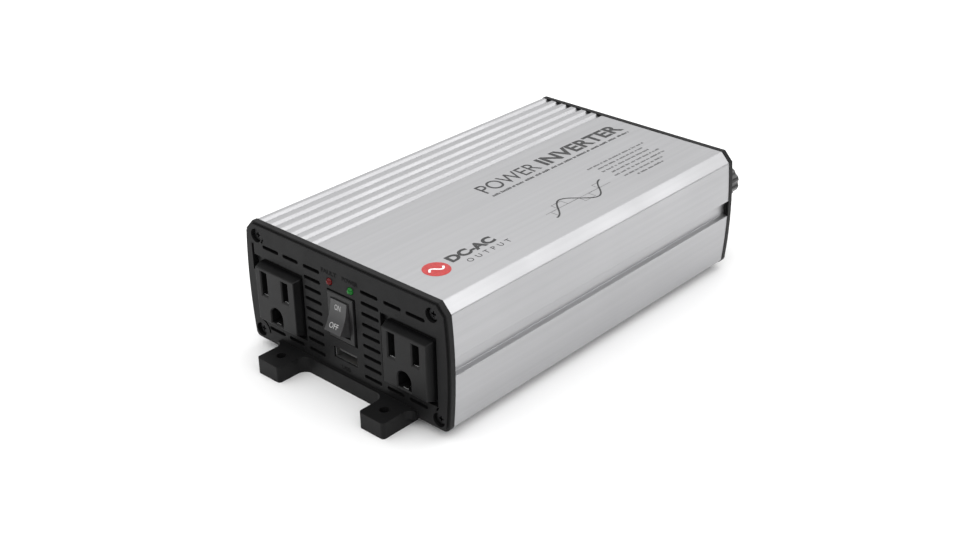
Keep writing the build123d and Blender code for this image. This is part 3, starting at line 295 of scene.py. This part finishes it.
finishes = {
    "anodised_aluminium": anodised_aluminium(),
    "panel_plastic": plastic("panel_plastic", 0.5, roughness=0.42, depth=5e-6, gloss=0.13),
    "outlet_plastic": plastic("outlet_plastic", 0.5, roughness=0.33, depth=3e-6, gloss=0.18),
    "inner_plastic": plastic("inner_plastic", roughness=0.5, edge=0),
    "switch_plastic": plastic("switch_plastic", 0.75, roughness=0.4, depth=4e-6, gloss=0.3),
    "rocker_plastic": plastic("rocker_plastic", roughness=0.38, grain=0.0002, depth=3e-6),
    "black_screw": metal("black_screw", (0.025, 0.025, 0.026), roughness=0.36, grain=0.0005, swing=0.2,
                         edge=0.00015),
    "brass": metal("brass", colours["brass"], roughness=0.28, stretch=(1, 20, 1), swing=0.08),
    "plated_steel": metal("plated_steel", colours["plated_steel"], roughness=0.26, stretch=(1, 12, 1),
                          edge=0.0001),
    "usb_insulator": plastic("usb_insulator", roughness=0.45, edge=0),
    "circuit_board": circuit_board(),
    "red_lens": lens("red_lens", scaled(colours["red_lens"], 0.3), 0.0),
    "green_lens": lens("green_lens", scaled(colours["green_lens"], 0.3), 0.03),
    "fan_plastic": plastic("fan_plastic", roughness=0.5, depth=8e-6, edge=0.0003),
    "red_plastic": plastic("red_plastic", roughness=0.28, depth=2e-6, coat=0.2, edge=0.0002),
    "post_black_plastic": plastic("post_black_plastic", roughness=0.3, depth=2e-6, coat=0.2, edge=0.0002),
    "red_insulation": plastic("red_insulation", roughness=0.45, edge=0),
    "black_insulation": plastic("black_insulation", roughness=0.45, edge=0),
    "insulating_film": plastic("insulating_film", roughness=0.7, swing=0.06, edge=0),
    "white_nylon": plastic("white_nylon", roughness=0.5, swing=0.04, edge=0),
    "ferrite": plastic("ferrite", roughness=0.65, grain=0.0008, depth=2e-5, edge=0),
    "copper": wound_wire(),
    "capacitor_sleeve": plastic("capacitor_sleeve", roughness=0.25, edge=0),
    "silicone_pad": plastic("silicone_pad", roughness=0.75, swing=0.05, edge=0),
    "fuse_plastic": plastic("fuse_plastic", roughness=0.2, swing=0.08, edge=0.0002),
}
slot_of = {p["node"]: p["material_slot"] for p in record["subparts"]}
stud_brass = threaded_brass()
own_finishes = {
    "post_stud_positive": stud_brass,
    "post_stud_negative": stud_brass,
    "usb_shell": metal("usb_tin", (0.3, 0.3, 0.3), roughness=0.3, stretch=(1, 12, 1), edge=0.0001,
                       metallic=0.85),
}
for name, node in frame["nodes"].items():
    finish = own_finishes.get(name, finishes[slot_of[name]])
    node.data.materials.clear()
    node.data.materials.append(finish)

black_ink = ink("black_ink", (0.02, 0.02, 0.021))
grey_ink = ink("grey_ink", (0.09, 0.09, 0.092))
red_ink = ink("red_ink", (0.42, 0.022, 0.022), roughness=0.45)
white_ink = ink("white_ink", (0.8, 0.8, 0.8), roughness=0.6)
rocker_ink = ink("rocker_ink", (0.42, 0.42, 0.42), roughness=0.6)
legend_plastic = moulded("legend_plastic", (0.002, 0.002, 0.002), roughness=0.6, edge=0, gloss=0.1)


# ------------------------------------------------------------------ printed and moulded pieces
def solid(name, loops, thick, place, material, body="body"):
    """Closed flat shapes of one thickness. loops are outlines in the plane, and place is their frame."""
    mesh = bpy.data.meshes.new(name)
    bm = bmesh.new()
    for loop in loops:
        low = [bm.verts.new((x, y, 0)) for x, y in loop]
        high = [bm.verts.new((x, y, thick)) for x, y in loop]
        bm.faces.new(list(reversed(low)))
        bm.faces.new(high)
        count = len(loop)
        for i in range(count):
            j = (i + 1) % count
            bm.faces.new((low[i], low[j], high[j], high[i]))
    bmesh.ops.recalc_face_normals(bm, faces=bm.faces)
    bm.to_mesh(mesh)
    bm.free()
    mesh.transform(place)
    return dress(name, mesh, material, body)


def dress(name, mesh, material, body):
    mesh.materials.clear()
    mesh.materials.append(material)
    piece = bpy.data.objects.new(name, mesh)
    scene.collection.objects.link(piece)
    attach(piece, body)
    return piece


def letters(text, height, width, thick, weight=0.0, spacing=1.0):
    """A text mesh in its own plane, centred, with the given cap height, overall width and thickness."""
    curve = bpy.data.curves.new("letters", "FONT")
    curve.body = text
    curve.size = 1.0
    curve.space_character = spacing
    curve.offset = weight
    curve.extrude = 0.5
    curve.resolution_u = 4
    holder = bpy.data.objects.new("letters", curve)
    scene.collection.objects.link(holder)
    bpy.context.view_layer.update()
    mesh = bpy.data.meshes.new_from_object(holder.evaluated_get(bpy.context.evaluated_depsgraph_get()))
    bpy.data.objects.remove(holder)
    low = [min(v.co[i] for v in mesh.vertices) for i in range(3)]
    high = [max(v.co[i] for v in mesh.vertices) for i in range(3)]
    for v in mesh.vertices:
        v.co = ((v.co.x - (low[0] + high[0]) / 2) * width / (high[0] - low[0]),
                (v.co.y - (low[1] + high[1]) / 2) * height / (high[1] - low[1]),
                (v.co.z - low[2]) * thick / (high[2] - low[2]))
    return mesh


def on_top(x, y):
    """The frame of print on the top face: it reads towards the rear, with letter tops to the left."""
    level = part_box("extruded_housing")[1].z + 0.01 * MM
    return Matrix(((0, -1, 0, x * MM), (1, 0, 0, y * MM), (0, 0, 1, level), (0, 0, 0, 1)))


def on_panel(x, z):
    """The frame of marks on the front panel's face."""
    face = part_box("extruded_housing")[0].y - PANEL_SET_BACK
    return Matrix(((1, 0, 0, x * MM), (0, 0, -1, face), (0, 1, 0, z * MM), (0, 0, 0, 1)))


def on_rear(x, z):
    """The frame of marks on the rear panel's face."""
    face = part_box("extruded_housing")[1].y + PANEL_SET_BACK
    return Matrix(((-1, 0, 0, x * MM), (0, 0, 1, face), (0, 1, 0, z * MM), (0, 0, 0, 1)))


INK = 0.03 * MM


def printed(name, text, height, width, place, material=black_ink, thick=INK, body="body", **style):
    mesh = letters(text, height * MM, width * MM, thick, **style)
    mesh.transform(place)
    return dress(name, mesh, material, body)


def strip(points, width):
    """The outline of a line of even width along points, all in mm."""
    left, right = [], []
    for i, (x, y) in enumerate(points):
        x0, y0 = points[max(i - 1, 0)]
        x1, y1 = points[min(i + 1, len(points) - 1)]
        heading = atan2(y1 - y0, x1 - x0)
        nx, ny = -sin(heading) * width / 2, cos(heading) * width / 2
        left.append(((x + nx) * MM, (y + ny) * MM))
        right.append(((x - nx) * MM, (y - ny) * MM))
    return left, right


def drawn(name, lines, place, material):
    """Lines of even width, each made of short closed bars."""
    loops = []
    for points, width in lines:
        left, right = strip(points, width)
        for i in range(len(points) - 1):
            loops.append([right[i], right[i + 1], left[i + 1], left[i]])
    return solid(name, loops, INK, place, material)


def small_print(name, rows, size, place, material, seed):
    """Rows of short bars that stand for fine print. rows are (start, end, level) in mm."""
    loops = []
    for start, end, level in rows:
        x = start
        while x < end:
            seed = (seed * 1103515245 + 12345) % 2147483648
            word = size * (0.9 + 3.2 * (seed / 2147483648))
            stop = min(x + word, end)
            letter = x
            while letter < stop - 0.2 * size:
                seed = (seed * 1103515245 + 12345) % 2147483648
                tall = size * (0.7 + 0.3 * (seed / 2147483648))
                wide = 0.42 * size
                loops.append([((letter + dx * wide) * MM, (level + dy * tall) * MM)
                              for dx, dy in ((0, 0), (1, 0), (1, 1), (0, 1))])
                letter += 0.62 * size
            x = stop + 0.7 * size
    return solid(name, loops, INK, place, material)


# Heading, sub-heading and fine print on the top. All places and sizes of print are in mm.
HEADING_X, HEADING_HEIGHT = -1.3, 8.3
SPEC_PITCH = 3.15
printed("print_heading_word", "POWER", HEADING_HEIGHT, 35.5, on_top(HEADING_X, 6.5))
printed("print_heading_name", "INVERTER", HEADING_HEIGHT, 55.0, on_top(HEADING_X, 55.0), weight=0.03)
small_print("print_subheading", [(0, 92.9, 0)], 1.5, on_top(6.6, -11.6), black_ink, 7)
spec_spans = [(-20.0, 20.0), (-16.5, 15.5), (-17.5, 16.5), (-15.0, 19.0), (-17.0, 18.5), (-14.5, 14.0),
              (-9.0, 9.5)]
spec_rows = [(start, end, -SPEC_PITCH * i) for i, (start, end) in enumerate(spec_spans)]
small_print("print_fine_lines", spec_rows, 1.15, on_top(19.3, 55.0), grey_ink, 11)

# Waveform: a sine, the stepped wave beside it and the axis
WAVE_REACH, WAVE_LENGTH, WAVE_SWING, WAVE_STEPS = 40.5, 27.0, 5.0, 60
STEP = 3.8
wave_place = on_top(34.0, -10.0)
wave_x = [WAVE_REACH * i / WAVE_STEPS for i in range(WAVE_STEPS + 1)]
sine = [(x, -WAVE_SWING * cos(2 * pi * x / WAVE_LENGTH)) for x in wave_x]
stepped = [(2.0, -4.0), (2.0, 0.0), (6.8, 0.0), (6.8, STEP), (13.0, STEP), (13.0, 0.0), (20.2, 0.0),
           (20.2, -STEP), (26.5, -STEP), (26.5, 0.0), (33.5, 0.0), (33.5, STEP), (38.5, STEP)]
drawn("print_sine", [(sine, 0.75)], wave_place, black_ink)
drawn("print_stepped", [(stepped[i:i + 2], 0.16) for i in range(len(stepped) - 1)], wave_place, grey_ink)
drawn("print_axis", [([(-1, 0), (41.5, 0)], 0.14)], wave_place, grey_ink)

# Round badge with the sign for alternating current
BADGE_RADIUS, BADGE_SIDES = 5.6, 64
badge_place = on_top(33.2, -73.5)
turns = [2 * pi * i / BADGE_SIDES for i in range(BADGE_SIDES)]
disc = [(BADGE_RADIUS * cos(turn) * MM, BADGE_RADIUS * sin(turn) * MM) for turn in turns]
solid("print_badge", [disc], INK, badge_place, red_ink)
tilde = [(-3.6 + 7.2 * i / 24, 1.5 * sin(2 * pi * i / 24)) for i in range(25)]
drawn("print_badge_sign", [(tilde, 0.9)], badge_place @ Matrix.Translation((0, 0, INK)), white_ink)
printed("print_conversion", "DC-AC", 5.4, 25.0, on_top(31.6, -53.0), weight=0.05)
printed("print_output", "OUTPUT", 2.6, 24.0, on_top(37.6, -49.0), spacing=1.9)

# Moulded words on the front panel
LEGEND = 0.06 * MM
for word, x in (("FAULT", -5.9), ("POWER", 5.9)):
    printed(f"legend_{word.lower()}", word, 1.9, 8.8, on_panel(x, 50.3), legend_plastic, LEGEND, weight=0.03)
printed("legend_usb", "USB", 1.7, 5.0, on_panel(0.77, 9.8), legend_plastic, LEGEND, weight=0.03)

# Marks above the binding posts
ARM, HALF_STROKE = 2.0, 0.35
minus_sign = [(-ARM, -HALF_STROKE), (ARM, -HALF_STROKE), (ARM, HALF_STROKE), (-ARM, HALF_STROKE)]
plus_sign = []
corner = [(-ARM, -HALF_STROKE), (-HALF_STROKE, -HALF_STROKE), (-HALF_STROKE, -ARM)]
for _ in range(4):
    plus_sign += corner
    corner = [(-y, x) for x, y in corner]
for sign, points, x in (("plus", plus_sign, -POST_X), ("minus", minus_sign, POST_X)):
    loop = [(a * MM, b * MM) for a, b in points]
    solid(f"mark_{sign}", [loop], 0.15 * MM, on_rear(x, 46.5), white_ink)


# ------------------------------------------------------------------ legends on the rocker's hollow face
ROCKER_TILT = radians(19.5)       # either way from upright
ROCKER_TIP, ROCKER_HALF, ROCKER_SAG = 5.2, 6.4, 0.9    # mm: how far the tips stand out, half height, sag
ROCKER_PRINT_SHIFT = 0.35         # mm that the words sit left of the middle


def on_rocker(mesh, along):
    """Wraps a flat word onto the rocker's hollow face, along being its height from the pivot in mm."""
    pivot = Vector(next(j for j in frame["joints"] if j["name"] == "rocker_tilt")["pos_m"])
    inward = Vector((0, cos(ROCKER_TILT), -sin(ROCKER_TILT)))
    upward = Vector((0, sin(ROCKER_TILT), cos(ROCKER_TILT)))
    radius = (ROCKER_HALF ** 2 + ROCKER_SAG ** 2) / (2 * ROCKER_SAG)
    for v in mesh.vertices:
        height = v.co.y / MM + along
        out = ROCKER_TIP - ROCKER_SAG + radius - (radius ** 2 - height ** 2) ** 0.5
        v.co = (pivot + Vector((v.co.x - ROCKER_PRINT_SHIFT * MM, 0, 0)) + upward * height * MM
                - inward * (out * MM + v.co.z))


for word, along, width in (("ON", 3.6, 3.3), ("OFF", -3.75, 4.9)):
    mesh = letters(word, 2.2 * MM, width * MM, 0.04 * MM, weight=-0.004)
    on_rocker(mesh, along)
    dress(f"rocker_{word.lower()}", mesh, rocker_ink, "rocker")


# ------------------------------------------------------------------ floor and light
def add_floor():
    mesh = bpy.data.meshes.new("floor")
    reach = 4.0
    level = cad_low[2]
    corners = [(-reach, -reach, level), (reach, -reach, level), (reach, reach, level), (-reach, reach, level)]
    mesh.from_pydata(corners, [], [(0, 1, 2, 3)])
    floor = bpy.data.objects.new("floor", mesh)
    scene.collection.objects.link(floor)
    s = Shader("floor")
    s.set(Base_Color=s.blend(s.spread(s.noise(0.4), 0, 1), (0.90, 0.90, 0.90, 1), (0.92, 0.92, 0.92, 1)))
    s.bsdf.inputs["Roughness"].default_value = 0.9
    s.bsdf.inputs["Specular IOR Level"].default_value = 0.1
    mesh.materials.append(s.material)


def add_softbox(name, place, aim, size, power):
    data = bpy.data.lights.new(name, "AREA")
    data.shape = "RECTANGLE"
    data.size, data.size_y = size
    data.energy = power
    light = bpy.data.objects.new(name, data)
    light.location = place
    light.rotation_euler = (Vector(aim) - Vector(place)).to_track_quat("-Z", "Y").to_euler()
    scene.collection.objects.link(light)


def add_world():
    """Soft studio surround: bright from 35 degrees up, dark towards the horizon."""
    world = bpy.data.worlds.new("studio")
    scene.world = world
    world.use_nodes = True
    tree = world.node_tree
    background = next(n for n in tree.nodes if n.type == "BACKGROUND")
    place = tree.nodes.new("ShaderNodeTexCoord")
    split = tree.nodes.new("ShaderNodeSeparateXYZ")
    ramp = tree.nodes.new("ShaderNodeValToRGB")
    tree.links.new(place.outputs["Generated"], split.inputs[0])
    tree.links.new(split.outputs["Z"], ramp.inputs["Fac"])
    tree.links.new(ramp.outputs["Color"], background.inputs["Color"])
    stops = ((0.0, 0.05), (0.2, 0.15), (0.33, 0.50), (0.41, 0.88), (0.47, 1.15), (0.58, 1.6), (0.7, 1.5),
             (1.0, 1.1))
    while len(ramp.color_ramp.elements) < len(stops):
        ramp.color_ramp.elements.new(0.5)
    for element, (position, level) in zip(ramp.color_ramp.elements, stops):
        element.position = position
        element.color = (level, level, level, 1)
    background.inputs["Strength"].default_value = 1.14


add_floor()
add_world()
add_softbox("top", (0.1, 0.1, 1.3), (0, 0, 0), (1.2, 1.2), 2.5)
add_softbox("rear", (0.81, 0.93, 0.90), (0.05, -0.05, 0.05), (0.4, 0.4), 1.4)
scene.view_settings.view_transform = "Standard"
